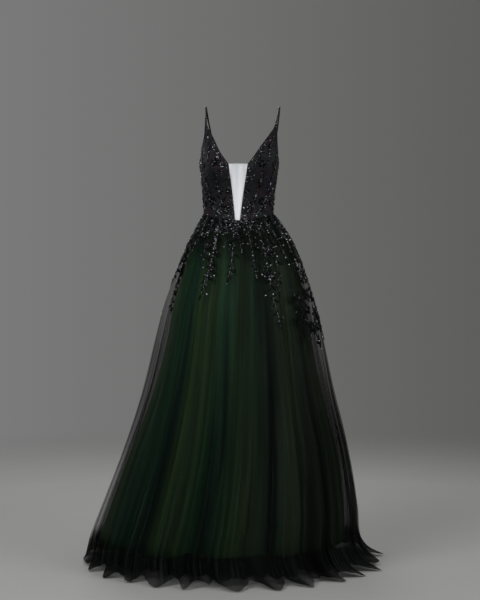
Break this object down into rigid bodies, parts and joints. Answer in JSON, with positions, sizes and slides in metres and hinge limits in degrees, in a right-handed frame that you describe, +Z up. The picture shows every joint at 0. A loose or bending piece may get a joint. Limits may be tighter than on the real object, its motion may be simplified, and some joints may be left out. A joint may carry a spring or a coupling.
{
  "type": "wedding dress",
  "caption": "Floor-length wedding or evening gown with thin straps, a plunging lace bodice and a full black tulle skirt over a green lining, held as worn.",
  "frame": {"origin": "midway between the two straps, level with their undersides where they lie on top of the shoulders", "axes": "+Z up; the wearer faces -Y and the wearer's left is +X"},
  "size_m": [1.0474, 1.14, 1.547],
  "materials": {
    "lace": "black beaded lace",
    "pale_net": "fine stretch net",
    "strap_satin": "satin",
    "outer_tulle": "sheer tulle",
    "second_tulle": "dense tulle",
    "lining": "satin-backed tulle",
    "zip_tape": "woven tape",
    "zip_metal": "gloss"
  },
  "bodies": {
    "gown": {"bodice_front_left": "lace", "bodice_front_right": "lace", "bodice_back_left": "lace", "bodice_back_right": "lace", "plunge_insert": "pale_net", "strap_left": "strap_satin", "strap_right": "strap_satin", "overlay_front": "outer_tulle", "overlay_back_left": "outer_tulle", "overlay_back_right": "outer_tulle", "second_tulle_front": "second_tulle", "second_tulle_back_left": "second_tulle", "second_tulle_back_right": "second_tulle", "lining_front": "lining", "lining_back_left": "lining", "lining_back_right": "lining", "hip_lace_left": "lace", "hip_lace_right": "lace", "zip_tape": "zip_tape", "zip_slider": "zip_metal"},
    "zip_pull_tab": {"zip_pull": "zip_metal"}
  },
  "joints": [
    {"name": "zip_pull_hinge", "type": "hinge", "parent": "gown", "child": "zip_pull_tab", "pos_m": [-0.00848, 0.09534, -0.2261], "axis": [1, 0, 0], "range_deg": [0, 165]}
  ]
}
